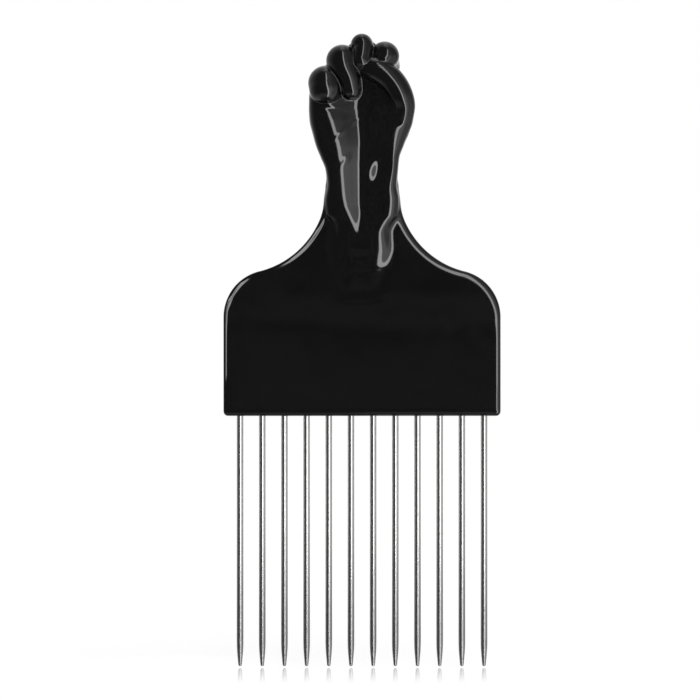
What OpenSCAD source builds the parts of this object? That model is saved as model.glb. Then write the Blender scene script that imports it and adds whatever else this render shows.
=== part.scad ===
// Afro pick: a raised fist on a forearm that widens into a flat plate, which
// holds one row of round steel tines.
// The part stands upright. Its tine tips are at Z = 0, X runs along the row of
// tines, and the palm side of the fist faces -Y.

/* [Tines] */
// Number of tines
tine_n = 12; // [8:1:14]
// Diameter of a tine's wire
tine_d = 1.85; // [1.5:0.05:2.2]
// Length of a tine outside the plate
tine_l = 69.3; // [50:0.1:100]
// Length of a tine's tapered tip
tip_l = 4.9; // [2:0.1:10]
// Diameter of the ball that ends the tip
tip_d = 1; // [0.6:0.05:1.4]

/* [Tine roots] */
// Length of a tine's root inside the plate
root_l = 14; // [10:0.5:20]
// Width of the flat pressed into the top of the root
flat_w = 2.7; // [2.3:0.05:3.2]
// Thickness of the pressed flat
flat_t = 1.1; // [0.8:0.05:1.4]
// Length of the pressed flat
flat_l = 3; // [2:0.1:5]
// Clearance that the plastic leaves round a root
mould_gap = 0.02; // [0.01:0.01:0.05]

/* [Plate] */
// Width of the plate
plate_w = 76.6; // [70:0.1:90]
// Thickness of the plate
plate_t = 6; // [5:0.1:8]
// Height of the plate's straight sides
plate_h = 27.4; // [22:0.1:40]
// Radius that rounds the plate's edges from face to face
edge_r = 1.2; // [0.8:0.1:2.2]
// Radius of the plate's two lower corners, seen from the front
corner_r = 1.3; // [0.5:0.1:4]
// Distance from the plate's side to the axis of the nearest tine
end_margin = 4.53; // [3:0.01:7]

/* [Shoulders and neck] */
// Radius of the plate's round shoulders
shoulder_r = 13; // [8:0.1:16]
// Radius of the hollow curve from a shoulder to the neck
hollow_r = 24.4; // [18:0.1:32]
// Width of the neck at its narrowest
neck_w = 19.6; // [16:0.1:24]
// Thickness of the neck
neck_t = 13; // [9:0.1:16]
// Radius that blends the forearm into the plate
arm_blend = 0.6; // [0.3:0.05:1]

/* [Fist] */
// Width of the fist
fist_w = 29.3; // [26:0.1:34]
// Thickness of the fist from the thumb to the knuckles
fist_t = 18.6; // [15:0.1:22]
// Height of the fist above the narrowest part of the neck
fist_h = 41.8; // [36:0.1:50]
// Radius that softens the creases between fingers
crease_r = 0.22; // [0.1:0.01:0.4]
// Radius that blends the pads of the palm into it
pad_r = 0.5; // [0.3:0.05:1]

/* [Fineness of the moulding] */
// Columns across the front
front_n = 38; // [30:1:44]
// Columns across the back
back_n = 18; // [12:1:30]
// Columns round each side
side_n = 8; // [6:2:12]
// Rows up the fist
fist_n = 34; // [20:1:40]
// Steps that a ray takes to the surface
step_n = 10; // [6:1:20]

/* [Hidden] */
// How far a cut runs past the face that it leaves
overrun = 1;
// The moulding's points lie on a fine grid, so that flat faces are truly flat
grid = 0.001;

plate_z = tine_l;
shoulder_z = plate_z + plate_h;
shoulder_x = plate_w / 2 - shoulder_r;
hollow_x = neck_w / 2 + hollow_r;
neck_z = shoulder_z + sqrt(pow(shoulder_r + hollow_r, 2) - pow(hollow_x - shoulder_x, 2));
// Height at which the shoulder's round meets the hollow curve
tangent_z = neck_z - (neck_z - shoulder_z) * hollow_r / (shoulder_r + hollow_r);
// The plate narrows above the neck and ends inside the wrist. From hand_z up it
// is too far inside to be met.
inward_share = 0.35;
fade_z = neck_z + neck_w / 4;
hand_z = fade_z + plate_t;
tine_pitch = (plate_w - 2 * end_margin) / (tine_n - 1);

// The forearm from the plate to the neck: height from the shoulders to the
// neck, half the neck's width, and half its thickness
arm_shares = [
    [0.00, 0.44, 0.10], [0.36, 0.62, 0.38], [0.39, 0.68, 0.455], [0.51, 0.75, 0.56], [0.64, 0.73, 0.66],
    [0.72, 0.84, 0.73], [0.78, 1.00, 0.79], [0.89, 1.04, 0.90], [1.00, 0.98, 0.98]
];
// The wrist and palm: height of the fist, its width to the left and to the
// right, and its thickness to the front and to the back
palm_shares = [
    [0.100, 0.345, 0.340, 0.365, 0.350], [0.182, 0.391, 0.353, 0.380, 0.365],
    [0.260, 0.436, 0.393, 0.385, 0.375], [0.340, 0.466, 0.437, 0.385, 0.385],
    [0.420, 0.490, 0.480, 0.380, 0.395], [0.512, 0.503, 0.497, 0.345, 0.405],
    [0.596, 0.501, 0.450, 0.290, 0.410], [0.715, 0.392, 0.375, 0.235, 0.385],
    [0.811, 0.273, 0.273, 0.160, 0.320], [0.883, 0.137, 0.170, 0.055, 0.160]
];

// The channel down the palm and the front of the forearm: height above the neck
// as a share of the fist's, place and half its width to the left and to the
// right as shares of the neck's width, and depth as a share of its thickness
channel_shares = [
    [-0.347, -0.020, 0.077, 0.112, 0.000], [-0.306, -0.020, 0.082, 0.122, 0.015],
    [-0.261, -0.020, 0.092, 0.138, 0.027], [-0.194, -0.010, 0.128, 0.189, 0.062],
    [-0.127, -0.017, 0.145, 0.214, 0.085], [0.000, -0.022, 0.156, 0.235, 0.100],
    [0.237, -0.018, 0.189, 0.281, 0.112], [0.435, -0.043, 0.253, 0.332, 0.146],
    [0.550, -0.056, 0.306, 0.357, 0.138], [0.694, -0.061, 0.306, 0.357, 0.062],
    [0.789, -0.061, 0.306, 0.357, 0.000]
];
// How square the front of a section is: height above the neck as a share of the
// fist's, and the exponent there, which is 2 for an ellipse
square_shares = [
    [-0.871, 3.0], [-0.574, 5.0], [-0.311, 6.0], [-0.239, 6.5], [-0.144, 7.5], [0.000, 9.5], [0.144, 10.0],
    [0.383, 6.5], [0.574, 4.0], [0.813, 2.4]
];

// Joints of the fingers, thumb and heel of the hand. Each is a place across,
// through and up the fist, and a radius as a share of its width. A finger's
// first two joints are its knuckle at the back and its bend at the front.
index_shares = [[0.220, 0.270, 0.805, 0.136], [0.212, -0.124, 0.856, 0.138],
    [0.258, -0.220, 0.852, 0.096], [0.172, -0.231, 0.825, 0.098]];
middle_shares = [[0.020, 0.280, 0.860, 0.126], [-0.003, -0.172, 0.931, 0.102],
    [0.012, -0.215, 0.915, 0.093], [-0.007, -0.280, 0.819, 0.091]];
ring_shares = [[-0.185, 0.270, 0.800, 0.140], [-0.187, -0.160, 0.824, 0.152],
    [-0.177, -0.231, 0.786, 0.132], [-0.124, -0.263, 0.699, 0.108], [-0.099, -0.269, 0.627, 0.093]];
little_shares = [[-0.345, 0.225, 0.671, 0.155], [-0.343, -0.140, 0.676, 0.166],
    [-0.341, -0.205, 0.638, 0.158]];
thumb_shares = [[0.343, -0.156, 0.355, 0.093], [0.396, -0.274, 0.514, 0.105],
    [0.359, -0.296, 0.600, 0.121], [0.243, -0.274, 0.703, 0.140], [0.163, -0.301, 0.743, 0.121],
    [0.021, -0.333, 0.792, 0.096]];
heel_shares = [[-0.338, -0.100, 0.430, 0.137], [-0.253, -0.060, 0.300, 0.130]];
// Bones that show through the back of the hand, from each knuckle to the wrist
back_shares = [
    [[0.220, 0.270, 0.805, 0.134], [0.110, 0.165, 0.180, 0.110]],
    [[0.020, 0.280, 0.860, 0.126], [0.010, 0.180, 0.180, 0.110]],
    [[-0.185, 0.270, 0.800, 0.140], [-0.090, 0.165, 0.180, 0.110]],
    [[-0.345, 0.225, 0.671, 0.155], [-0.180, 0.140, 0.180, 0.110]]
];

function between(v, low, high) = min(max(v, low), high);
function eased(v) = let (t = between(v, 0, 1)) t * t * (3 - 2 * t);

// Distance to the outline of the plate and neck, seen from the front. The line
// through the centres of the two curves parts the points that belong to each.
function beside_shoulder(x, z) =
    (x - shoulder_x) * (neck_z - shoulder_z) > (z - shoulder_z) * (hollow_x - shoulder_x);
function side_gap(x, z) =
    z <= shoulder_z ? x - plate_w / 2
    : beside_shoulder(x, z) ? norm([x - shoulder_x, z - shoulder_z]) - shoulder_r
    : z <= neck_z ? hollow_r - norm([x - hollow_x, z - neck_z])
    : x - neck_w / 2 + inward_share * (z - neck_z);

// Two distances joined by a corner of radius r
function rounded(a, b, r) =
    min(max(a + r, b + r), 0) + norm([max(a + r, 0), max(b + r, 0)]) - r;

function plate_gap(p) =
    let (outline = rounded(side_gap(abs(p.x), p.z), plate_z - p.z, corner_r))
    rounded(max(outline, p.z - fade_z), abs(p.y) - plate_t / 2, edge_r);

// Sections of the forearm, wrist and palm: height, left, right, front, back
sections = concat(
    [for (s = arm_shares) [shoulder_z + s[0] * (neck_z - shoulder_z),
        -s[1] * neck_w / 2, s[1] * neck_w / 2, s[2] * neck_t / 2, s[2] * neck_t / 2]],
    [for (s = palm_shares) [neck_z + s[0] * fist_h,
        -s[1] * fist_w, s[2] * fist_w, s[3] * fist_t, s[4] * fist_t]]
);
lefts = [for (s = sections) [s[0], s[1]]];
rights = [for (s = sections) [s[0], s[2]]];
fronts = [for (s = sections) [s[0], s[3]]];
backs = [for (s = sections) [s[0], s[4]]];
palm_top = sections[len(sections) - 1][0];

function middle_x(z) = (lookup(z, rights) + lookup(z, lefts)) / 2;
function half_w(z) = (lookup(z, rights) - lookup(z, lefts)) / 2;

// How far the channel's bell curve lies below the front
channel = [for (i = [1 : 4]) [for (s = channel_shares) [s[0], s[i]]]];
function channel_depth(x, share) =
    let (
        off = x - lookup(share, channel[0]) * neck_w,
        half = lookup(share, channel[off < 0 ? 1 : 2]) * neck_w
    )
    lookup(share, channel[3]) * neck_t * exp(-pow(off / half, 2));

// Distance to the sections: half a squared ellipse in front and half an ellipse
// behind
function palm_gap(p) =
    let (
        front = p.y < 0,
        share = (p.z - neck_z) / fist_h,
        n = front ? lookup(share, square_shares) : 2,
        w = half_w(p.z),
        t = front ? lookup(p.z, fronts) - channel_depth(p.x, share) : lookup(p.z, backs),
        u = abs(p.x - middle_x(p.z)) / w,
        v = abs(p.y) / t,
        k = pow(pow(u, n) + pow(v, n), 1 / n),
        slope = k == 0 ? 1 / min(w, t) : norm([pow(u / k, n - 1) / w, pow(v / k, n - 1) / t]),
        gap = (k - 1) / slope,
        over = max(p.z - palm_top, shoulder_z - p.z)
    )
    over > 0 ? norm([max(gap, 0), over]) : gap;

// A rod tapers from one joint to the next: start, run, run over its length
// squared, radius and change of radius
function joint_at(s) = [s[0] * fist_w, s[1] * fist_t, neck_z + s[2] * fist_h];
function rods(shares) = [
    for (i = [1 : len(shares) - 1])
        let (a = joint_at(shares[i - 1]), run = joint_at(shares[i]) - a)
        [a, run, run / (run * run), shares[i - 1][3] * fist_w, (shares[i][3] - shares[i - 1][3]) * fist_w]
];
function rod_gap(p, rod) =
    let (q = p - rod[0], t = between(q * rod[2], 0, 1))
    norm(q - t * rod[1]) - rod[3] - t * rod[4];

function finger_gap(p, finger) = min([for (r = finger) rod_gap(p, r)]);

heel_rods = rods(heel_shares);
fingers = [for (s = [index_shares, middle_shares, ring_shares, little_shares, thumb_shares]) rods(s)];
knuckles = [for (i = [0 : 3]) [fingers[i][0]]];
bone_rods = [for (s = back_shares) rods(s)[0]];

// A union whose creases are filled to about the radius r
function blended(gaps, r) =
    let (low = min(gaps))
    low - r * ln([for (g = gaps) exp((low - g) / r)] * [for (g = gaps) 1]);

function hand_gap(p) =
    let (
        soft = p.y < 0 ? heel_rods : bone_rods,
        palm = blended(concat([palm_gap(p)], [for (r = soft) rod_gap(p, r)]), pad_r)
    )
    blended(concat([palm], [for (f = p.y < 0 ? fingers : knuckles) finger_gap(p, f)]), crease_r);

// Distance to the whole moulding. The forearm is left out below the shoulders,
// the fingers below the neck and the plate from hand_z up.
function gap_at(p) =
    p.z < shoulder_z ? plate_gap(p)
    : p.z < neck_z ? blended([plate_gap(p), palm_gap(p)], arm_blend)
    : p.z < hand_z ? blended([plate_gap(p), hand_gap(p)], arm_blend)
    : hand_gap(p);

// The surface is found by rays that leave a spine inside the moulding. A row is
// a height, a slope of its rays in degrees, half the spine's length, its middle
// and how far the rays fan out in degrees. Above cap_z only the slope changes.
fan_angle = 55;
steepest_angle = 84;
cap_share = 0.74;
cap_z = neck_z + cap_share * fist_h;
cap_n = 15;
shoulder_n = 6;
hollow_n = 12;
function outline_half(z) = z < neck_z ? side_half(z) : half_w(z);
function side_half(z) =
    z <= shoulder_z ? plate_w / 2
    : z <= tangent_z ? shoulder_x + sqrt(pow(shoulder_r, 2) - pow(z - shoulder_z, 2))
    : hollow_x - sqrt(pow(hollow_r, 2) - pow(neck_z - z, 2));
function depth(z) = z < shoulder_z ? plate_t / 2 : max(plate_t / 2, lookup(z, fronts));
function row_at(z, slope) = [
    z, slope, outline_half(z) - depth(z), z < neck_z ? 0 : middle_x(z),
    fan_angle * eased((z - shoulder_z) / (neck_z - shoulder_z))
];
// The lower edge's slopes lie close together where its corners are rounded
low_slopes = [-82, -63, -53, -45, -37, -27, -10];
cap_slopes = [for (i = [1 : cap_n]) steepest_angle * i / cap_n];
plate_rows = [plate_z + plate_t, (plate_z + shoulder_z) / 2];
shoulder_rows = [for (i = [0 : shoulder_n - 1])
    shoulder_z + (tangent_z - shoulder_z) * sin(90 * i / shoulder_n)];
hollow_rows = [for (i = [0 : hollow_n - 1]) neck_z - (neck_z - tangent_z) * cos(90 * i / hollow_n)];
fist_rows = [for (i = [0 : fist_n]) neck_z + (cap_z - neck_z) * i / fist_n];
rows = concat(
    [for (s = low_slopes) row_at(plate_z + plate_t / 2, s)],
    [for (z = concat(plate_rows, shoulder_rows, hollow_rows, fist_rows)) row_at(z, 0)],
    [for (s = cap_slopes) row_at(cap_z, s)]
);

// A column is a place along the spine, a direction round it and the share of
// the fan that turns it
function across(n) = [for (i = [0 : n - 1]) (2 * i + 1) / n - 1];
function round_side(n) = [for (i = [0 : n - 1]) (i + 0.5) / n];
columns = concat(
    [for (s = across(front_n)) [s, 0, s]],
    [for (q = round_side(side_n)) [1, 180 * q, 1 - 2 * q]],
    [for (s = across(back_n)) [-s, 180, s]],
    [for (q = round_side(side_n)) [-1, 180 * (q - 1), 1 - 2 * q]]
);
column_n = len(columns);

function surface_point(row, column) =
    let (
        start = [row[3] + row[2] * column[0], 0, row[0]],
        turn = column[1] + row[4] * column[2],
        ray = [sin(turn) * cos(row[1]), -cos(turn) * cos(row[1]), sin(row[1])],
        reach = [for (i = 0, t = fist_t; i <= step_n; i = i + 1, t = t - gap_at(start + t * ray)) t]
    )
    on_grid(start + reach[step_n] * ray);
function on_grid(p) = [for (v = p) round(v / grid) * grid];

function quad(a, b, c, d) = [[a, b, c], [a, c, d]];

// Each end of the moulding is closed by a ladder from the front's columns,
// which are more, to the back's. Half of each side's columns count as front.
half_side_n = floor(side_n / 2);
front_chain = concat(
    [for (c = [column_n - half_side_n : column_n - 1]) c],
    [for (c = [0 : front_n + half_side_n - 1]) c]
);
back_chain = [for (c = [column_n - half_side_n - 1 : -1 : front_n + half_side_n]) c];
function facing(i) = back_chain[round(i * (len(back_chain) - 1) / (len(front_chain) - 1))];
ladder = [
    for (i = [0 : len(front_chain) - 2])
        let (a = front_chain[i], b = front_chain[i + 1], c = facing(i), d = facing(i + 1))
        each c == d ? [[a, b, c]] : quad(a, b, d, c)
];

module moulding() {
    points = [for (r = rows) for (c = columns) surface_point(r, c)];
    top = (len(rows) - 1) * column_n;
    wall = [
        for (r = [0 : len(rows) - 2]) for (c = [0 : column_n - 1])
            let (a = r * column_n + c, b = r * column_n + (c + 1) % column_n)
            each quad(a, a + column_n, b + column_n, b)
    ];
    polyhedron(points, concat(
        wall, ladder, [for (f = ladder) [top + f[2], top + f[1], top + f[0]]]
    ));
}

// A straight wire that goes up into the plate, and the flat pressed into its
// top end, which keeps it from turning or pulling out. It starts as far below
// the plate as below says, and gap widens it all round.
module root(gap, below) {
    translate([0, 0, plate_z - below])
        cylinder(d = tine_d + 2 * gap, h = below + root_l - flat_l + gap);
    translate([0, 0, plate_z + root_l - flat_l - gap])
        intersection() {
            cylinder(d = flat_w + 2 * gap, h = flat_l + 2 * gap);
            translate([-flat_w, -flat_t / 2 - gap, 0])
                cube([2 * flat_w, flat_t + 2 * gap, flat_l + 2 * gap]);
        }
}

function tine_x(i) = (i - (tine_n + 1) / 2) * tine_pitch;
function tine_name(i) = str("tine_", i < 10 ? "0" : "", i);

module handle() {
    color("#101012")
        difference() {
            moulding();
            for (i = [1 : tine_n]) translate([tine_x(i), 0, 0]) root(mould_gap, overrun);
        }
}

module tine(i) {
    color("silver")
        translate([tine_x(i), 0, 0]) {
            translate([0, 0, tip_d / 2]) sphere(d = tip_d);
            translate([0, 0, tip_d / 2]) cylinder(d1 = tip_d, d2 = tine_d, h = tip_l - tip_d / 2);
            root(0, tine_l - tip_l);
        }
}

$fn = 48;
handle();
for (i = [1 : tine_n]) tine(i);
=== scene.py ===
# An afro pick: a raised fist of glossy black plastic over a flat plate that holds twelve steel pins.
# It stands on the tips of its pins, and the palm side of the fist faces -Y, towards the camera.
import math

import bmesh
import bpy
import numpy as np
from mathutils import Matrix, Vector


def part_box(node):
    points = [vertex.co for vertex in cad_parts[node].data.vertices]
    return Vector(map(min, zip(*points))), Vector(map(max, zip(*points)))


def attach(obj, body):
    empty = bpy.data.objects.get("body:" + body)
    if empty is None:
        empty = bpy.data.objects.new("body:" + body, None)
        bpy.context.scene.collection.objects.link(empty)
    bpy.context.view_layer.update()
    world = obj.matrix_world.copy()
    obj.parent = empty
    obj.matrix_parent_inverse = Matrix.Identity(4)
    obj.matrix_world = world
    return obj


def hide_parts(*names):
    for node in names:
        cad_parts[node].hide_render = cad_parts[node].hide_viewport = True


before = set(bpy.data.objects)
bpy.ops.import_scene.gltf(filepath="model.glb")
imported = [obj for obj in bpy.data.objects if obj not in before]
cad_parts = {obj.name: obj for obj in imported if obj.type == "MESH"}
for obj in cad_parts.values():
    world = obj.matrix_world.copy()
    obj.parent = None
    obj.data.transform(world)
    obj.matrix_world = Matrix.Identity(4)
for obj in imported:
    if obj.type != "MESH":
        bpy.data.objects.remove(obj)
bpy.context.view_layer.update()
mm = 0.001
joinWithin = 0.002 * mm      # corners this close together are one corner
shortest = 0.001 * mm        # an edge shorter than this is taken out
tiny = 0.000001              # keeps a division away from zero
handleLow, handleHigh = (np.array(corner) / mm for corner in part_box("handle"))
print("frame loaded:", len(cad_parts), "CAD nodes")


class Value:
    # A socket that can be added, multiplied and so on. Each operation adds its Math node.
    def __init__(self, sheet, socket):
        self.sheet, self.socket = sheet, socket

    def __add__(self, other):
        return self.sheet.math("ADD", self, other)

    def __radd__(self, other):
        return self.sheet.math("ADD", other, self)

    def __sub__(self, other):
        return self.sheet.math("SUBTRACT", self, other)

    def __rsub__(self, other):
        return self.sheet.math("SUBTRACT", other, self)

    def __mul__(self, other):
        return self.sheet.math("MULTIPLY", self, other)

    def __rmul__(self, other):
        return self.sheet.math("MULTIPLY", other, self)

    def __neg__(self):
        return self.sheet.math("MULTIPLY", self, -1)


class NodeSheet:
    # The node tree of one material or of the world
    def __init__(self, tree):
        self.tree = tree
        tree.nodes.clear()

    def node(self, kind, settings, inputs, output=0):
        # Its settings are made first, then each of its sockets gets a number or a link
        made = self.tree.nodes.new(kind)
        for name, setting in settings.items():
            setattr(made, name, setting)
        for name, value in inputs.items():
            if isinstance(value, Value):
                self.tree.links.new(value.socket, made.inputs[name])
            else:
                made.inputs[name].default_value = value
        return Value(self, made.outputs[output]) if made.outputs else None

    def math(self, operation, *values):
        # One operation on numbers and values
        return self.node("ShaderNodeMath", {"operation": operation}, dict(enumerate(values)))

    def clamped(self, value, low, high):
        # The value, but no less than low and no more than high
        return self.math("MINIMUM", self.math("MAXIMUM", value, low), high)

    def eased(self, value, low, high):
        # 0 up to low, 1 from high, and a smooth step between
        return self.node("ShaderNodeMapRange", {"interpolation_type": "SMOOTHSTEP"},
                         {"Value": value, "From Min": low, "From Max": high})

    def band(self, value, low, high, soft):
        # 1 between low and high and 0 outside, with a smooth step from soft before to soft after each
        return self.eased(value, low - soft, low + soft) * (1 - self.eased(value, high - soft, high + soft))

    def noise(self, place, perUnit, detail=2.0, roughness=0.5):
        # Clouds of values round 0.5, so many to each unit of the place
        return self.node("ShaderNodeTexNoise", {}, {
            "Vector": place, "Scale": perUnit, "Detail": detail, "Roughness": roughness})

    def stretched(self, place, scale):
        # Each axis times its scale: a pattern is drawn out along an axis whose scale is small
        return self.node("ShaderNodeMapping", {}, {"Vector": place, "Scale": scale})

    def objectPlace(self):
        # The point's own place on the piece, in metres
        return self.node("ShaderNodeTexCoord", {}, {}, "Object")

    def axis(self, place, name):
        # The X, Y or Z of a place
        return self.node("ShaderNodeSeparateXYZ", {}, {"Vector": place}, name)

    def bump(self, height, depth, under=None, inward=False):
        # The normal of a relief of height * depth, laid over the relief that is under it
        inputs = {"Strength": 1.0, "Distance": depth, "Height": height}
        if under:
            inputs["Normal"] = under
        return self.node("ShaderNodeBump", {"invert": inward}, inputs)


def newMaterial(name):
    # An empty material and the sheet that its nodes go on
    material = bpy.data.materials.new(name)
    material.use_nodes = True
    return material, NodeSheet(material.node_tree)


# Depths are in metres. A range is where a noise goes from no effect to its full effect.
plastic = {
    "colour": (0.0035, 0.0035, 0.0037, 1), "ior": 1.59, "roughness": 0.07,
    "smudgesPerMetre": 60, "smudgeRange": (0.48, 0.72), "smudgeRoughness": 0.05,
    "scratchesPerMetre": 900, "scratchStretch": (0.08, 1, 1), "scratchRange": (0.70, 0.78),
    "scratchRoughness": 0.10, "scratchDepth": 0.0000012,
    "flowPerMetre": 95, "flowDepth": 0.00004,
    "grainPerMetre": 2600, "grainDepth": 0.0000006,
}


def blackPlastic():
    # Polished mould finish: slow flow waves, over them a fine grain, and hairline scratches where
    # there are faint smudges. Roughness is the plain one plus smudge and scratch times their own.
    material, sheet = newMaterial("glossyBlackPlastic")
    place = sheet.objectPlace()
    clouds = sheet.noise(place, plastic["smudgesPerMetre"], detail=4.0, roughness=0.6)
    smudge = sheet.eased(clouds, *plastic["smudgeRange"])
    drawnOut = sheet.stretched(place, plastic["scratchStretch"])
    lines = sheet.noise(drawnOut, plastic["scratchesPerMetre"], detail=1.0)
    scratch = sheet.eased(lines, *plastic["scratchRange"]) * smudge
    roughness = (plastic["roughness"] + plastic["smudgeRoughness"] * smudge
                 + plastic["scratchRoughness"] * scratch)
    flow = sheet.bump(sheet.noise(place, plastic["flowPerMetre"], detail=1.0), plastic["flowDepth"])
    grain = sheet.bump(sheet.noise(place, plastic["grainPerMetre"]), plastic["grainDepth"], flow)
    normal = sheet.bump(scratch, plastic["scratchDepth"], grain, inward=True)
    shader = sheet.node("ShaderNodeBsdfPrincipled", {}, {
        "Base Color": plastic["colour"], "Roughness": roughness, "IOR": plastic["ior"], "Normal": normal})
    sheet.node("ShaderNodeOutputMaterial", {}, {"Surface": shader})
    return material


# tipShadeRange is the height above the tips, in metres, over which the painted shade fades out
steel = {
    "colour": (0.82, 0.82, 0.81, 1), "roughness": 0.18,
    "spotAndShadeColour": (0.31, 0.31, 0.31, 1), "tipRoughness": 0.2, "tipShadeRange": (0.002, 0.05), "tipShadeShare": 0.7,
    "linesPerMetre": 7000, "lineStretch": (1, 1, 0.004), "lineDepth": 0.0000001,
    "lineRoughness": 0.05, "lineShare": 0.15,
    "spotsPerMetre": 700, "spotRange": (0.55, 0.75), "spotShare": 0.15,
}


def drawnSteel():
    # Wire drawn through a die, with fine lines along its length, rougher towards its tip and darker there
    # with painted shade that dims its reflections.
    # Lines, spots and the painted tip shade, each times its share, mix the darker colour into the plain
    # one.
    material, sheet = newMaterial("drawnSteel")
    place = sheet.objectPlace()
    lines = sheet.noise(sheet.stretched(place, steel["lineStretch"]), steel["linesPerMetre"])
    spots = sheet.eased(sheet.noise(place, steel["spotsPerMetre"], detail=3.0), *steel["spotRange"])
    # Painted shade: the colour darkens towards the tip so that the reflections there come out dimmer
    tipShade = 1 - sheet.eased(sheet.axis(place, "Z"), *steel["tipShadeRange"])
    mixed = steel["lineShare"] * lines + steel["spotShare"] * spots + steel["tipShadeShare"] * tipShade
    # The mix node's sockets for colours are its inputs 0, 6 and 7 and its output 2
    colour = sheet.node("ShaderNodeMix", {"data_type": "RGBA"}, {
        0: mixed, 6: steel["colour"], 7: steel["spotAndShadeColour"]}, 2)
    roughness = (steel["roughness"] + steel["tipRoughness"] * tipShade
                 + steel["lineRoughness"] * (lines - 0.5))
    shader = sheet.node("ShaderNodeBsdfPrincipled", {}, {
        "Base Color": colour, "Metallic": 1.0, "Roughness": roughness,
        "Normal": sheet.bump(lines, steel["lineDepth"])})
    sheet.node("ShaderNodeOutputMaterial", {}, {"Surface": shader})
    return material


def addObject(name, data):
    # An object at the origin, linked into the scene
    made = bpy.data.objects.new(name, data)
    bpy.context.scene.collection.objects.link(made)
    return made


def addPiece(name, points, faces, material, normalsAt=None):
    # points are in millimetres, faces are rows of corners, and corners that coincide are joined.
    # Where normalsAt is given, it works out the surface's own normal at each corner.
    mesh = bpy.data.meshes.new(name)
    mesh.vertices.add(len(points))
    mesh.vertices.foreach_set("co", (points * mm).ravel())
    mesh.loops.add(faces.size)
    mesh.loops.foreach_set("vertex_index", faces.ravel())
    mesh.polygons.add(len(faces))
    mesh.polygons.foreach_set("loop_start", np.arange(0, faces.size, faces.shape[1]))
    mesh.update(calc_edges=True)
    mesh.validate()
    joined = bmesh.new()
    joined.from_mesh(mesh)
    bmesh.ops.remove_doubles(joined, verts=joined.verts, dist=joinWithin)
    bmesh.ops.dissolve_degenerate(joined, edges=joined.edges, dist=shortest)
    joined.to_mesh(mesh)
    joined.free()
    mesh.polygons.foreach_set("use_smooth", np.ones(len(mesh.polygons), bool))
    mesh.materials.append(material)
    if normalsAt:
        place = np.zeros(len(mesh.vertices) * 3)
        mesh.vertices.foreach_get("co", place)
        mesh.normals_split_custom_set_from_vertices(normalsAt(place.reshape(-1, 3) / mm))
    return addObject(name, mesh)


def tubeFaces(rowCount, columnCount):
    # Two triangles in each square between neighbouring rows of a grid. Its columns go all the way round.
    row, column = np.meshgrid(np.arange(rowCount - 1), np.arange(columnCount), indexing="ij")
    a = (row * columnCount + column).ravel()
    b = (row * columnCount + (column + 1) % columnCount).ravel()
    c, d = b + columnCount, a + columnCount
    return np.concatenate([np.stack([a, b, c], -1), np.stack([a, c, d], -1)])


def smoothStep(value):
    # 0 below 0, 1 above 1, and t * t * (3 - 2 * t) between
    t = np.clip(value, 0, 1)
    return t * t * (3 - 2 * t)


def between(pair, share):
    # first + (second - first) * share
    return pair[0] + (pair[1] - pair[0]) * share


def smoothCurve(stations, values, at):
    # A cubic through the stations that never overshoots: the slope at each inner station is the
    # weighted harmonic mean of the slopes on its two sides, or 0 where those two differ in sign
    x, y = np.asarray(stations, float), np.asarray(values, float)
    step = np.diff(x)
    slope = np.diff(y) / step
    same = slope[1:] * slope[:-1] > 0
    weightBefore, weightAfter = 2 * step[1:] + step[:-1], step[1:] + 2 * step[:-1]
    before, after = np.where(same, slope[:-1], 1), np.where(same, slope[1:], 1)
    mean = (weightBefore + weightAfter) / (weightBefore / before + weightAfter / after)
    tangent = np.concatenate([slope[:1], np.where(same, mean, 0), slope[-1:]])
    at = np.clip(at, x[0], x[-1])
    i = np.clip(np.searchsorted(x, at) - 1, 0, len(step) - 1)
    t = (at - x[i]) / step[i]
    return (y[i] * (1 + 2 * t) * (1 - t) ** 2 + y[i + 1] * t * t * (3 - 2 * t)
            + step[i] * (tangent[i] * t * (1 - t) ** 2 + tangent[i + 1] * t * t * (t - 1)))


def curvesAt(table, at):
    # A smooth curve for each column of a table. Its first column holds the stations.
    return [smoothCurve(table[:, 0], column, at) for column in table[:, 1:].T]


# The handle's form, in millimetres. Of each pair for the plate, the first is for its straight sides
# and the second for the neck: the change begins riseFrom above the shoulders' centres and takes
# riseOver. edgeRound is for the left and the right, which change over sideBlend, and rimFade is two
# heights above the foot.
handle = {
    "plateWidth": handleHigh[0] - handleLow[0], "plateThick": 6.0,
    "foot": handleLow[2], "plateSide": 27.4,
    "edgeRound": (0.55, 0.8), "cornerRound": 1.3,
    "shoulderRadius": 13.0, "hollowRadius": 24.4, "neckWidth": 19.6, "neckThick": 13.0, "inwardShare": 0.35,
    "fistWidth": 29.3, "fistThick": 18.6, "fistHeight": 41.8,
    "riseFrom": -6.0, "riseOver": 14.0, "sideBlend": 12.0,
    "rim": (0.45, 0.2), "rimSlope": (0.62, 1.4), "rimFade": (6.8, 10.2), "shrunk": (0.06, 0.27),
    "crown": 0.17, "crownWidth": (1.5, 2.3), "footCrown": 0.3, "footCrownWidth": 1.9,
    "armBlend": 0.6, "armFade": 5.0, "padBlend": 0.5, "crease": 0.22, "bends": 8,
}
shoulderZ = handle["foot"] + handle["plateSide"]
shoulderX = handle["plateWidth"] / 2 - handle["shoulderRadius"]
hollowX = handle["neckWidth"] / 2 + handle["hollowRadius"]
bothRadii = handle["shoulderRadius"] + handle["hollowRadius"]
neckZ = shoulderZ + math.sqrt(bothRadii ** 2 - (hollowX - shoulderX) ** 2)
tangentZ = neckZ - (neckZ - shoulderZ) * handle["hollowRadius"] / bothRadii
fadeZ = neckZ + handle["neckWidth"] / 4      # the plate's form ends here, inside the palm

# The forearm's sections: height from the shoulders' centres (0) to the neck (1), then width and
# thickness as shares of the neck's
armShares = [
    [0.00, 0.36, 0.10], [0.36, 0.52, 0.38], [0.39, 0.62, 0.455], [0.45, 0.71, 0.52], [0.51, 0.75, 0.56],
    [0.64, 0.71, 0.66], [0.72, 0.84, 0.73], [0.78, 1.00, 0.79], [0.89, 1.04, 0.90], [1.00, 0.98, 0.98]]
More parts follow.
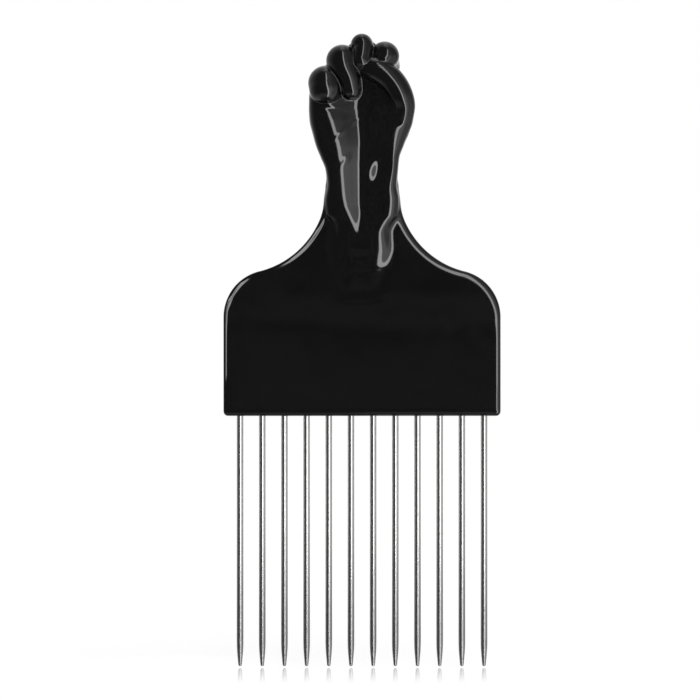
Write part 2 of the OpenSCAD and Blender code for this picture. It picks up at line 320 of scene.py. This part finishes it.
# The palm's sections: height above the neck as a share of the fist's, its left and right border as
# shares of the fist's width, and its front and back as shares of the fist's thickness
palmShares = [
    [0.100, 0.345, 0.340, 0.365, 0.350], [0.182, 0.391, 0.353, 0.380, 0.365],
    [0.260, 0.436, 0.393, 0.385, 0.375], [0.340, 0.466, 0.437, 0.385, 0.385],
    [0.420, 0.490, 0.480, 0.380, 0.395], [0.512, 0.503, 0.497, 0.345, 0.405],
    [0.596, 0.501, 0.450, 0.290, 0.410], [0.715, 0.392, 0.375, 0.235, 0.385],
    [0.811, 0.273, 0.273, 0.160, 0.320], [0.883, 0.137, 0.170, 0.055, 0.160]]
# The joints of the fingers, of the heel below the little finger and of the bones down the back of
# the hand: place across as a share of the fist's width, place towards the back as a share of its
# thickness, height above the neck as a share of its height, and radius as a share of its width
fingerShares = {
    "index": [
        [0.220, 0.270, 0.805, 0.136], [0.212, -0.124, 0.856, 0.138],
        [0.236, -0.214, 0.850, 0.110], [0.214, -0.246, 0.826, 0.098]],
    "middle": [
        [0.020, 0.280, 0.860, 0.126], [-0.003, -0.172, 0.931, 0.102],
        [0.012, -0.215, 0.915, 0.093], [-0.007, -0.280, 0.819, 0.091]],
    "ring": [
        [-0.185, 0.270, 0.800, 0.140], [-0.187, -0.160, 0.824, 0.152],
        [-0.177, -0.231, 0.786, 0.132], [-0.124, -0.263, 0.699, 0.108], [-0.099, -0.269, 0.627, 0.093]],
    "little": [
        [-0.345, 0.225, 0.671, 0.155], [-0.343, -0.140, 0.676, 0.166], [-0.341, -0.205, 0.638, 0.158]],
    "thumb": [
        [0.343, -0.156, 0.355, 0.093], [0.394, -0.274, 0.514, 0.105], [0.356, -0.301, 0.600, 0.119],
        [0.254, -0.295, 0.703, 0.125], [0.154, -0.280, 0.749, 0.119], [0.031, -0.220, 0.786, 0.100]]}
heelShares = [[-0.338, -0.100, 0.430, 0.137], [-0.253, -0.060, 0.300, 0.130]]
boneShares = [
    [[0.220, 0.270, 0.805, 0.134], [0.110, 0.165, 0.180, 0.110]],
    [[0.020, 0.280, 0.860, 0.126], [0.010, 0.180, 0.180, 0.110]],
    [[-0.185, 0.270, 0.800, 0.140], [-0.090, 0.165, 0.180, 0.110]],
    [[-0.345, 0.225, 0.671, 0.155], [-0.180, 0.140, 0.180, 0.110]]]
# The channel down the palm and forearm: height above the neck as a share of the fist's, place and
# half its width to the left and right as shares of the neck's width, depth as a share of its thickness
channelShares = [
    [-0.347, -0.020, 0.077, 0.112, 0.000], [-0.306, -0.020, 0.082, 0.122, 0.015],
    [-0.261, -0.020, 0.092, 0.138, 0.027], [-0.194, -0.010, 0.128, 0.189, 0.062],
    [-0.127, -0.017, 0.155, 0.214, 0.092], [0.000, -0.022, 0.175, 0.235, 0.110],
    [0.237, -0.018, 0.205, 0.281, 0.122], [0.435, -0.043, 0.258, 0.332, 0.172],
    [0.550, -0.056, 0.306, 0.357, 0.138], [0.694, -0.061, 0.306, 0.357, 0.062],
    [0.789, -0.061, 0.306, 0.357, 0.000]]
# How square the front is: height above the neck as a share of the fist's, and the exponent there
squareShares = [
    [-0.871, 2.6], [-0.574, 3.1], [-0.430, 4.2], [-0.311, 5.4], [-0.239, 6.2], [-0.144, 6.6],
    [0.000, 7.0], [0.144, 6.8], [0.383, 5.2], [0.574, 4.0], [0.813, 2.4]]
# Small marks in the palm and forearm, in millimetres: place, height above the neck, degrees of
# slant, half their length, half their width and their depth, which is negative for a ridge
marks = [
    [4.9, 4.1, 75.0, 4.6, 2.25, 1.35], [-8.8, 21.0, -16.0, 4.2, 0.7, 0.18],
    [-4.4, 15.4, 42.0, 3.3, 0.5, -0.13], [-4.2, 7.1, 60.0, 1.6, 0.8, -0.15]]

# The same in millimetres. A section is its height, its left and right border, and how far its front
# and its back are from the middle plane.
sections = np.array([
    [shoulderZ + up * (neckZ - shoulderZ), -wide * handle["neckWidth"] / 2, wide * handle["neckWidth"] / 2,
     deep * handle["neckThick"] / 2, deep * handle["neckThick"] / 2]
    for up, wide, deep in armShares] + [
    [neckZ + up * handle["fistHeight"], -left * handle["fistWidth"], right * handle["fistWidth"],
     front * handle["fistThick"], back * handle["fistThick"]]
    for up, left, right, front, back in palmShares])
channel = np.array(channelShares) * [
    handle["fistHeight"], *[handle["neckWidth"]] * 3, handle["neckThick"]]
square = np.array(squareShares) * [handle["fistHeight"], 1]


def sideGap(x, z):
    # Distance outside the outline's side: a straight edge, the round shoulder, the hollow arc that
    # meets it, and above the neck a line that leans inward
    straight = x - handle["plateWidth"] / 2
    shoulder = np.hypot(x - shoulderX, z - shoulderZ) - handle["shoulderRadius"]
    hollow = handle["hollowRadius"] - np.hypot(x - hollowX, z - neckZ)
    above = x - handle["neckWidth"] / 2 + handle["inwardShare"] * (z - neckZ)
    beside = (x - shoulderX) * (neckZ - shoulderZ) > (z - shoulderZ) * (hollowX - shoulderX)
    curved = np.where(beside, shoulder, np.where(z <= neckZ, hollow, above))
    return np.where(z <= shoulderZ, straight, curved)


def rounded(a, b, r):
    # The larger of two distances, with the corner between them rounded to the radius r
    return (np.minimum(np.maximum(a + r, b + r), 0)
            + np.hypot(np.maximum(a + r, 0), np.maximum(b + r, 0)) - r)


def plateGap(p):
    # Distance outside the flat plate: inside its outline and between its two faces, which shrank a
    # little as they cooled. On the left they lie lower than a thin rim, which is lost near the foot.
    # On the right they fall away towards the edge, and along the foot on both sides:
    # crown / 2 * (crownWidth - distance from the edge) ** 2.
    x, y, z = p[..., 0], p[..., 1], p[..., 2]
    aboveFoot = z - handle["foot"]
    rise = smoothStep((z - shoulderZ - handle["riseFrom"]) / handle["riseOver"])
    right = smoothStep(x / handle["sideBlend"] + 0.5)
    outline = rounded(sideGap(np.abs(x), z), -aboveFoot, handle["cornerRound"])
    inside = smoothStep((-outline - between(handle["rim"], rise)) / between(handle["rimSlope"], rise))
    fadeFrom, fadeTo = handle["rimFade"]
    grown = np.clip((aboveFoot - fadeFrom) / (fadeTo - fadeFrom), 0, 1)
    shrunk = between(handle["shrunk"], rise) * (inside + right - inside * right) * grown
    inward = np.maximum(between(handle["crownWidth"], rise) + np.minimum(outline, 0), 0)
    footInward = np.maximum(handle["footCrownWidth"] - np.maximum(aboveFoot, 0), 0)
    crown = handle["crown"] / 2 * inward ** 2 * right + handle["footCrown"] / 2 * footInward ** 2
    face = np.abs(y) - handle["plateThick"] / 2 + shrunk + crown
    return rounded(np.maximum(outline, z - fadeZ), face, between(handle["edgeRound"], right))


def markDepth(x, above):
    # The sum of the marks. Each is depth * exp(-(along / long) ** 2 - (across / wide) ** 2).
    total = 0
    for place, height, slant, long, wide, depth in marks:
        cosine, sine = math.cos(math.radians(slant)), math.sin(math.radians(slant))
        along = (x - place) * cosine + (above - height) * sine
        across = (above - height) * cosine - (x - place) * sine
        total = total + depth * np.exp(-((along / long) ** 2) - (across / wide) ** 2)
    return total


def palmGap(p):
    # Distance outside the forearm and palm. A level section is a super-ellipse, rounder behind than
    # in front: k = (u ** n + v ** n) ** (1 / n) is 1 on it, so the distance is k - 1 over k's slope.
    # In front the channel's bell curve, depth * exp(-(((x - place) / half) ** 2)), and the marks are
    # taken from its depth.
    x, y, z = p[..., 0], p[..., 1], p[..., 2]
    above = z - neckZ
    left, right, front, back = curvesAt(sections, z)
    place, toLeft, toRight, depth = curvesAt(channel, above)
    half = np.where(x < place, toLeft, toRight)
    dip = depth * np.exp(-(((x - place) / half) ** 2)) + markDepth(x, above)
    n = np.where(y < 0, curvesAt(square, above)[0], 2)
    wide, deep = (right - left) / 2, np.where(y < 0, front - dip, back)
    u, v = np.abs(x - (right + left) / 2) / wide, np.abs(y) / deep
    big = np.maximum(np.maximum(u, v), tiny)
    k = big * ((u / big) ** n + (v / big) ** n) ** (1 / n)
    slope = np.hypot((u / k) ** (n - 1) / wide, (v / k) ** (n - 1) / deep)
    gap = (k - 1) / np.maximum(slope, tiny)
    over = np.maximum(z - sections[-1, 0], sections[0, 0] - z)
    return np.where(over > 0, np.hypot(np.maximum(gap, 0), np.maximum(over, 0)), gap)


def bentRods(shares):
    # A chain of short rods along the smooth curve through the joints, or one rod between only two.
    # Each is its start, its run, its radius and the radius's change.
    joints = np.array(shares) * [
        handle["fistWidth"], handle["fistThick"], handle["fistHeight"], handle["fistWidth"]]
    joints = joints + [0, 0, neckZ, 0]
    along = np.concatenate([[0], np.cumsum(np.linalg.norm(np.diff(joints[:, :3], axis=0), axis=1))])
    steps = handle["bends"] if len(shares) > 2 else 1
    at = np.interp(np.arange((len(shares) - 1) * steps + 1) / steps, np.arange(len(shares)), along)
    path = np.stack([smoothCurve(along, column, at) for column in joints.T], -1)
    return [(a[:3], b[:3] - a[:3], a[3], b[3] - a[3]) for a, b in zip(path[:-1], path[1:])]


def rodGap(p, rod):
    # Distance outside a rod whose radius runs evenly from one end's to the other's
    start, run, radius, change = rod
    q = p - start
    t = np.clip(q @ run / (run @ run), 0, 1)
    return np.linalg.norm(q - t[..., None] * run, axis=-1) - radius - t * change


def blended(gaps, r):
    # The smallest gap, with the crease between two forms filled softly over about r:
    # smallest - r * log(sum of exp((smallest - gap) / r))
    low = np.minimum.reduce(gaps)
    return low - r * np.log(sum(np.exp((low - gap) / r) for gap in gaps))


heelRods = bentRods(heelShares)
boneRods = [rod for shares in boneShares for rod in bentRods(shares)]
fingerRods = {name: bentRods(shares) for name, shares in fingerShares.items()}
knuckleRods = {name: fingerRods[name][:handle["bends"]] for name in ("index", "middle", "ring", "little")}


def handGap(p):
    # In front: the palm with its heel, then the fingers. Behind: the palm with its bones and knuckles.
    gap = palmGap(p)
    front = p[..., 1] < 0
    for half, soft, hard in ((front, heelRods, fingerRods), (~front, boneRods, knuckleRods)):
        q = p[half]
        palm = blended([gap[half]] + [rodGap(q, rod) for rod in soft], handle["padBlend"])
        fingers = [np.minimum.reduce([rodGap(q, rod) for rod in rods]) for rods in hard.values()]
        gap[half] = blended([palm] + fingers, handle["crease"])
    return gap


def handleGap(p):
    # Distance outside the whole handle: the plate, blended with the arm or, above the neck, the hand.
    # The arm starts at the shoulders, and its lower end fades away inside the plate.
    farAway = 100.0
    arm = (p[..., 2] >= shoulderZ) & (p[..., 2] < neckZ)
    hand = p[..., 2] >= neckZ
    other = np.full(p.shape[:-1], farAway)
    belowFade = np.maximum(shoulderZ + handle["armFade"] - p[arm][..., 2], 0)
    other[arm] = palmGap(p[arm]) + belowFade ** 2 / 2
    other[hand] = handGap(p[hand])
    return blended([plateGap(p), other], handle["armBlend"])


def gapSlope(p):
    # The direction in which the gap grows fastest, which is the surface's normal: the gap's change
    # over a step to each side along X, Y and Z, brought to length 1
    step = 0.02
    shifts = np.eye(3) * step
    slope = np.stack([handleGap(p + shift) - handleGap(p - shift) for shift in shifts], -1)
    return slope / np.linalg.norm(slope, axis=-1, keepdims=True)


# How many columns there are in front, behind and round each side, how many rows in each part of the
# height, and how many steps bring a point to the surface. Slopes and the fan are degrees.
rays = {
    "front": 136, "back": 50, "side": 36, "seamPull": 0.12, "fanAngle": 55.0,
    "foot": 16, "plate": 4, "shoulder": 32, "hollow": 56, "fist": 140, "cap": 80,
    "footSlope": -86.0, "footEase": 0.8, "capShare": 0.74, "capSlope": 88.0, "steps": 18,
}


def sideHalf(z):
    # Half the outline's width, up to the neck: straight, then the two arcs from their centres
    shoulder = shoulderX + np.sqrt(np.maximum(handle["shoulderRadius"] ** 2 - (z - shoulderZ) ** 2, 0))
    hollow = hollowX - np.sqrt(np.maximum(handle["hollowRadius"] ** 2 - (neckZ - z) ** 2, 0))
    return np.where(z <= shoulderZ, handle["plateWidth"] / 2, np.where(z <= tangentZ, shoulder, hollow))


def rayRows():
    # Each row is a height and a slope: the foot's slopes, the heights up to the cap, the cap's slopes
    thick = handle["plateThick"]
    capZ = neckZ + rays["capShare"] * handle["fistHeight"]
    foot, plate, shoulder, hollow = (
        np.linspace(0, 1, rays[part], endpoint=False) for part in ("foot", "plate", "shoulder", "hollow"))
    heights = np.concatenate([
        handle["foot"] + thick + plate * (handle["plateSide"] - thick),
        shoulderZ + (tangentZ - shoulderZ) * np.sin(shoulder * math.pi / 2),
        neckZ - (neckZ - tangentZ) * np.cos(hollow * math.pi / 2),
        np.linspace(neckZ, capZ, rays["fist"])])
    footSlopes = rays["footSlope"] * (1 - foot) ** rays["footEase"]
    capSlopes = rays["capSlope"] * np.linspace(0, 1, rays["cap"] + 1)[1:]
    z = np.concatenate([
        np.full(rays["foot"], handle["foot"] + thick / 2), heights, np.full(rays["cap"], capZ)])
    slope = np.concatenate([footSlopes, np.zeros(len(heights)), capSlopes])
    return z, np.radians(slope)


def rayColumns():
    # Each column is a place along the spine, a direction round it and a share of the fan
    across = (2 * np.arange(rays["front"]) + 1) / rays["front"] - 1
    behind = (2 * np.arange(rays["back"]) + 1) / rays["back"] - 1
    turn = (np.arange(rays["side"]) + 0.5) / rays["side"]
    turn = turn + rays["seamPull"] * np.sin(2 * math.pi * turn)      # closer together along the seam
    one = np.ones(rays["side"])
    along = np.concatenate([across, one, -behind, -one])
    towards = np.concatenate([0 * across, math.pi * turn, math.pi + 0 * behind, math.pi * (turn - 1)])
    fanned = np.concatenate([across, 1 - 2 * turn, behind, 1 - 2 * turn])
    return along, towards, fanned


def handlePoints():
    # point = start + reach * ray. The start runs along a spine inside the handle, at
    # middle + along * half, and the ray points towards + fan * fanned round it, raised by the row's
    # slope. The reach shrinks by the gap that is left until the point lies on the surface.
    z, slope = rayRows()
    along, towards, fanned = rayColumns()
    left, right, front = curvesAt(sections, z)[:3]
    deep = np.where(z < shoulderZ, handle["plateThick"] / 2, np.maximum(handle["plateThick"] / 2, front))
    half = np.where(z < neckZ, sideHalf(z), (right - left) / 2) - deep
    middle = np.where(z < neckZ, 0, (right + left) / 2)
    fan = math.radians(rays["fanAngle"]) * smoothStep((z - shoulderZ) / (neckZ - shoulderZ))
    turn = towards[None, :] + fan[:, None] * fanned[None, :]
    level, lift = np.cos(slope)[:, None], np.sin(slope)[:, None]
    ray = np.stack([np.sin(turn) * level, -np.cos(turn) * level, np.broadcast_to(lift, turn.shape)], -1)
    start = np.stack([
        middle[:, None] + half[:, None] * along[None, :], np.zeros(turn.shape),
        np.broadcast_to(z[:, None], turn.shape)], -1)
    reach = np.full(turn.shape, handle["fistThick"])
    for step in range(rays["steps"]):
        reach = reach - handleGap(start + reach[..., None] * ray)
    return start + reach[..., None] * ray


def endLadder(columnCount):
    # Triangles from the front's columns of an end row to the back's, which are fewer: each front
    # column is joined to the back column at the same share of the way along
    frontCount, sideCount = rays["front"], rays["side"]
    halfSide = sideCount // 2
    frontChain = np.arange(-halfSide, frontCount + halfSide) % columnCount
    backChain = np.arange(columnCount - halfSide - 1, frontCount + halfSide - 1, -1)
    facing = backChain[np.round(np.linspace(0, len(backChain) - 1, len(frontChain))).astype(int)]
    a, b, c, d = frontChain[:-1], frontChain[1:], facing[:-1], facing[1:]
    split = c != d
    return np.concatenate([np.stack([a, b, c], -1), np.stack([b, d, c], -1)[split]])


def makeHandle(material):
    # The grid of points as a tube, closed at the foot and at the top by a ladder of triangles
    points = handlePoints()
    rowCount, columnCount = points.shape[:2]
    foot = endLadder(columnCount)[:, ::-1]
    cap = endLadder(columnCount) + (rowCount - 1) * columnCount
    faces = np.concatenate([tubeFaces(rowCount, columnCount), foot, cap])
    piece = addPiece("fistHandle", points.reshape(-1, 3), faces, material, gapSlope)
    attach(piece, "root")
    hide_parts("handle")


# One pin, in millimetres. Its rings lie close together up to fineLength and round the pressed flat,
# which begins flatFrom below the root's end.
pin = {
    "count": 12, "diameter": 1.85, "tipLength": 4.9, "tipDiameter": 1.0, "taperEase": 0.08,
    "rootLength": 14.0, "flatWidth": 2.7, "flatThick": 1.1, "flatFrom": 3.9, "flatEase": 1.2,
    "round": 48, "ballRings": 12, "fineLength": 8.1, "fineRings": 30, "wireRings": 12, "rootRings": 30,
}


def pinPoints(x, length):
    # A circle carried up the wire's axis. Its radius grows from the tip's ball along a taper
    # that eases into the wire, and at the root's end it is pressed flat across the plate.
    ball, wire, ease = pin["tipDiameter"] / 2, pin["diameter"] / 2, pin["taperEase"]
    rootEnd = length + pin["rootLength"]
    turn = np.linspace(0, math.pi / 2, pin["ballRings"])
    ballZ, ballRadius = ball * (1 - np.cos(turn)), ball * np.sin(turn)
    z = np.concatenate([
        ballZ, np.linspace(ball, pin["fineLength"], pin["fineRings"])[1:],
        np.linspace(pin["fineLength"], length, pin["wireRings"])[1:],
        np.linspace(length, rootEnd, pin["rootRings"])[1:]])
    taper = ball + (wire - ball) * (z - ball) / (pin["tipLength"] - ball)
    radius = -ease * np.logaddexp(-taper / ease, -wire / ease)
    radius[:len(ballRadius)] = np.minimum(ballRadius, radius[:len(ballRadius)])
    pressed = smoothStep((z - rootEnd + pin["flatFrom"]) / pin["flatEase"])
    wide = radius + (pin["flatWidth"] / 2 - radius) * pressed
    thick = wire + (pin["flatThick"] / 2 - wire) * pressed
    angle = np.arange(pin["round"]) * 2 * math.pi / pin["round"]
    px = x + wide[:, None] * np.cos(angle)
    py = np.clip(wide[:, None] * np.sin(angle), -thick[:, None], thick[:, None])
    pz = np.broadcast_to(z[:, None], px.shape)
    return np.stack([px, py, pz], -1)


def makePin(number, material):
    # A tube up the middle of the tine's box. The tip's ring is a point, and a fan closes the root.
    node = f"tine_{number:02d}"
    low, high = (np.array(corner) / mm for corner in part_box(node))
    points = pinPoints((low[0] + high[0]) / 2, handle["foot"])
    rowCount, columnCount = points.shape[:2]
    last = (rowCount - 1) * columnCount
    fan = np.arange(1, columnCount - 1)
    root = np.stack([np.full(len(fan), last), last + fan, last + fan + 1], -1)
    faces = np.concatenate([tubeFaces(rowCount, columnCount), root])
    piece = addPiece(f"pin{number:02d}", points.reshape(-1, 3), faces, material)
    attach(piece, "root")
    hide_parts(node)


makeHandle(blackPlastic())
print("handle made")
wireMaterial = drawnSteel()
for number in range(1, pin["count"] + 1):
    makePin(number, wireMaterial)
print("pins made")


# Levels are shares of white. Directions are degrees: azimuth 0 is behind the camera and grows to the
# camera's right, and elevation 0 is level.
studio = {
    "front": 0.036, "patch": 0.09, "patchScale": 30.0, "patchRange": (0.38, 0.66),
    "panel": 0.77, "panelSides": (9.0, 98.0), "sideSoft": 1.5, "panelEnds": (-62.0, 74.0), "endSoft": 3.0,
    "fadeLevel": 1.3, "fadePerDegree": 0.04, "fadeRange": (0.45, 1.6),
    "lean": 0.25, "leanUpTo": 30.0, "outerShare": 0.42, "outerRange": (33.0, 57.0),
    "edge": 3.9, "edgeSides": (9.0, 18.5), "edgeSoft": 1.0,
    "white": 0.56, "whiteLeft": (58.0, 168.0), "whiteRight": (85.0, 150.0), "whiteRise": (-55.0, -25.0),
    "whiteBehind": (155.0, 176.0),
    "top": 0.38, "topRange": (70.0, 84.0), "low": 0.3, "lowEnds": (-64.0, -38.0), "lowSoft": 12.0,
}


def studioWorld():
    # For the camera the world is white. For everything else it is a room, and its level is a sum:
    # a dark, patchy one all round, white behind the object, a dim ceiling, a faint low band and one
    # tall panel to the right of the camera. The panel leans, fades upwards and outwards, and has a
    # bright inner edge.
    world = bpy.data.worlds.new("studio")
    world.use_nodes = True
    bpy.context.scene.world = world
    sheet = NodeSheet(world.node_tree)
    direction = sheet.node("ShaderNodeTexCoord", {}, {}, "Generated")
    x, y, z = (sheet.axis(direction, name) for name in "XYZ")
    degrees = 180 / math.pi
    azimuth = degrees * sheet.math("ARCTAN2", x, -y)
    elevation = degrees * sheet.math("ARCSINE", z)
    toSide = sheet.math("ABSOLUTE", azimuth)

    leaning = azimuth + studio["lean"] * sheet.clamped(elevation, -studio["leanUpTo"], studio["leanUpTo"])
    tall = sheet.band(elevation, *studio["panelEnds"], studio["endSoft"])
    fade = sheet.clamped(studio["fadeLevel"] - studio["fadePerDegree"] * elevation, *studio["fadeRange"])
    dimmer = 1 - (1 - studio["outerShare"]) * sheet.eased(azimuth, *studio["outerRange"])
    panel = sheet.band(leaning, *studio["panelSides"], studio["sideSoft"]) * fade * dimmer * studio["panel"]
    edge = sheet.band(leaning, *studio["edgeSides"], studio["edgeSoft"]) * studio["edge"]

    whiteRight = sheet.eased(azimuth, *studio["whiteRight"]) * sheet.eased(elevation, *studio["whiteRise"])
    white = studio["white"] * (sheet.eased(-azimuth, *studio["whiteLeft"]) + whiteRight)
    behind = (1 - studio["front"] - studio["white"]) * sheet.eased(toSide, *studio["whiteBehind"])
    top = sheet.eased(elevation, *studio["topRange"]) * studio["top"]
    low = sheet.band(elevation, *studio["lowEnds"], studio["lowSoft"]) * studio["low"]
    clouds = sheet.noise(direction, studio["patchScale"], detail=1.0)
    patches = sheet.eased(clouds, *studio["patchRange"]) * studio["patch"]

    level = studio["front"] + patches + tall * (panel + edge) + white + behind + top + low
    cameraRay = sheet.node("ShaderNodeLightPath", {}, {}, "Is Camera Ray")
    strength = cameraRay + (1 - cameraRay) * level
    shader = sheet.node("ShaderNodeBackground", {}, {"Color": (1, 1, 1, 1), "Strength": strength})
    sheet.node("ShaderNodeOutputWorld", {}, {"Surface": shader})


# Lengths are in metres. Each range is a distance from the middle over which an effect fades.
floor = {
    "half": 3.0, "level": -0.00025, "colour": (0.9, 0.9, 0.9, 1), "roughness": 0.4, "ownLight": 1.04,
    "shade": 0.16, "shadeRange": (0.06, 0.3),
    "polish": 0.45, "polishRoughness": 0.02, "polishAcross": (0.036, 0.09), "polishDeep": (0.0, 0.06),
}


def paleFloor():
    # White sheet. The camera sees mostly its own white, 1 - shade * (1 - far), and for the rest the
    # paper with its shadow. Close round the pins a polish mirrors their tips.
    half = floor["half"]
    corners = [(-half, -half), (half, -half), (half, half), (-half, half)]
    mesh = bpy.data.meshes.new("floor")
    mesh.from_pydata([(x, y, floor["level"]) for x, y in corners], [], [(0, 1, 2, 3)])
    material, sheet = newMaterial("whiteSheet")
    mesh.materials.append(material)
    place = sheet.objectPlace()
    x, y = (sheet.axis(place, name) for name in "XY")
    polished = (1 - sheet.eased(sheet.math("ABSOLUTE", y), *floor["polishDeep"])) * (
        1 - sheet.eased(sheet.math("ABSOLUTE", x), *floor["polishAcross"]))
    far = sheet.eased(x * x + y * y, *(radius ** 2 for radius in floor["shadeRange"]))
    cameraRay = sheet.node("ShaderNodeLightPath", {}, {}, "Is Camera Ray")
    paper = sheet.node("ShaderNodeBsdfPrincipled", {}, {
        "Base Color": floor["colour"], "Roughness": floor["roughness"], "Specular IOR Level": 0.0})
    white = sheet.node("ShaderNodeEmission", {}, {"Color": (1, 1, 1, 1), "Strength": floor["ownLight"]})
    mirror = sheet.node("ShaderNodeBsdfGlossy", {}, {
        "Color": (1, 1, 1, 1), "Roughness": floor["polishRoughness"]})
    sheeting = sheet.node("ShaderNodeMixShader", {}, {
        0: (1 - floor["shade"] * (1 - far)) * cameraRay, 1: paper, 2: white})
    surface = sheet.node("ShaderNodeMixShader", {}, {
        0: floor["polish"] * polished * cameraRay, 1: sheeting, 2: mirror})
    sheet.node("ShaderNodeOutputMaterial", {}, {"Surface": surface})
    laid = addObject("floor", mesh)
    laid.visible_glossy = False


overhead = {"place": (0.25, -0.45, 1.1), "aim": (0, 0, 0.08), "size": 0.9, "watts": 9}


def overheadLamp():
    # A soft square lamp that no reflection shows, turned towards its aim
    lamp = bpy.data.lights.new("overhead", "AREA")
    lamp.shape = "SQUARE"
    lamp.size = overhead["size"]
    lamp.energy = overhead["watts"]
    held = addObject("overhead", lamp)
    held.location = overhead["place"]
    towards = Vector(overhead["aim"]) - Vector(overhead["place"])
    held.rotation_euler = towards.to_track_quat("-Z", "Y").to_euler()
    held.visible_camera = False
    held.visible_glossy = False


# The real length in millimetres and the same length in the photograph's pixels, the column of the
# object's middle, the row of its tips and the width of the square photograph. Distances are in metres.
view = {
    "length": 175.0, "lengthPixels": 632.0, "middleColumn": 362.05, "tipRow": 666.2, "photoPixels": 700.0,
    "distance": 1.10, "sensor": 36.0, "clipNear": 0.05, "clipFar": 20.0,
}


def photoCamera():
    # Level, square to the plate, with the photograph's frame across the object's own plane
    data = bpy.data.cameras.new("camera")
    camera = addObject("camera", data)
    pixel = view["length"] / view["lengthPixels"]
    half = view["photoPixels"] / 2
    x = (half - view["middleColumn"]) * pixel * mm
    z = (view["tipRow"] - half) * pixel * mm
    camera.location = (x, -view["distance"], z)
    camera.rotation_euler = (math.pi / 2, 0, 0)
    data.sensor_width = view["sensor"]
    data.lens = view["sensor"] * view["distance"] / (view["photoPixels"] * pixel * mm)
    data.clip_start = view["clipNear"]
    data.clip_end = view["clipFar"]
    bpy.context.scene.camera = camera


photoCamera()
studioWorld()
paleFloor()
overheadLamp()
bpy.context.scene.view_settings.view_transform = "Standard"
print("camera, floor and lights placed")
